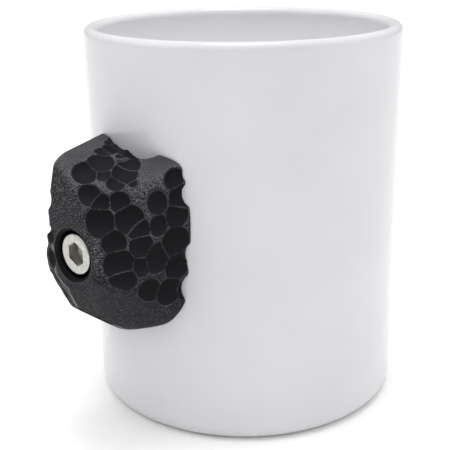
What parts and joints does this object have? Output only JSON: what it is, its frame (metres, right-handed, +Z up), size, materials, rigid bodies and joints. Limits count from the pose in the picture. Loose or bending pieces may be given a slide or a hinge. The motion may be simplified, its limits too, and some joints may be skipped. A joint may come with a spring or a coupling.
{
  "type": "mug with climbing hold handle",
  "caption": "Straight glazed ceramic mug whose handle is a textured climbing hold, fixed to its side by a recessed socket-head cap screw.",
  "frame": {"origin": "centre of the mug's foot, on its axis, at the table", "axes": "+Z up along the mug's axis, -X out through the handle and its screw, Y across the handle"},
  "size_m": [0.101, 0.082, 0.0995],
  "materials": {
    "glaze": "glossy white glaze",
    "glue": "cured epoxy",
    "anchor_steel": "plain machined steel",
    "pad_rubber": "matt black rubber",
    "grip_resin": "black cast resin with a fine sand grain",
    "fixing_steel": "bright stainless steel"
  },
  "bodies": {
    "mug": {"mug_body": "glaze", "glue_film": "glue", "anchor_plate": "anchor_steel", "anchor_boss": "anchor_steel", "saddle_pad": "pad_rubber", "grip_body": "grip_resin", "grip_ferrule": "anchor_steel"},
    "washer": {"flat_washer": "fixing_steel"},
    "screw": {"cap_screw": "fixing_steel"}
  },
  "joints": [
    {"name": "screw_travel", "type": "slide", "parent": "mug", "child": "washer", "axis": [-1, 0, 0], "range_m": [0, 0.007]},
    {"name": "screw_turn", "type": "hinge", "parent": "washer", "child": "screw", "pos_m": [-0.053, 0, 0.052], "axis": [-1, 0, 0], "range_deg": [0, 2520]}
  ],
  "couplings": [
    {"joint": "screw_turn", "follows": "screw_travel", "rad_per_m": 6283.2}
  ]
}
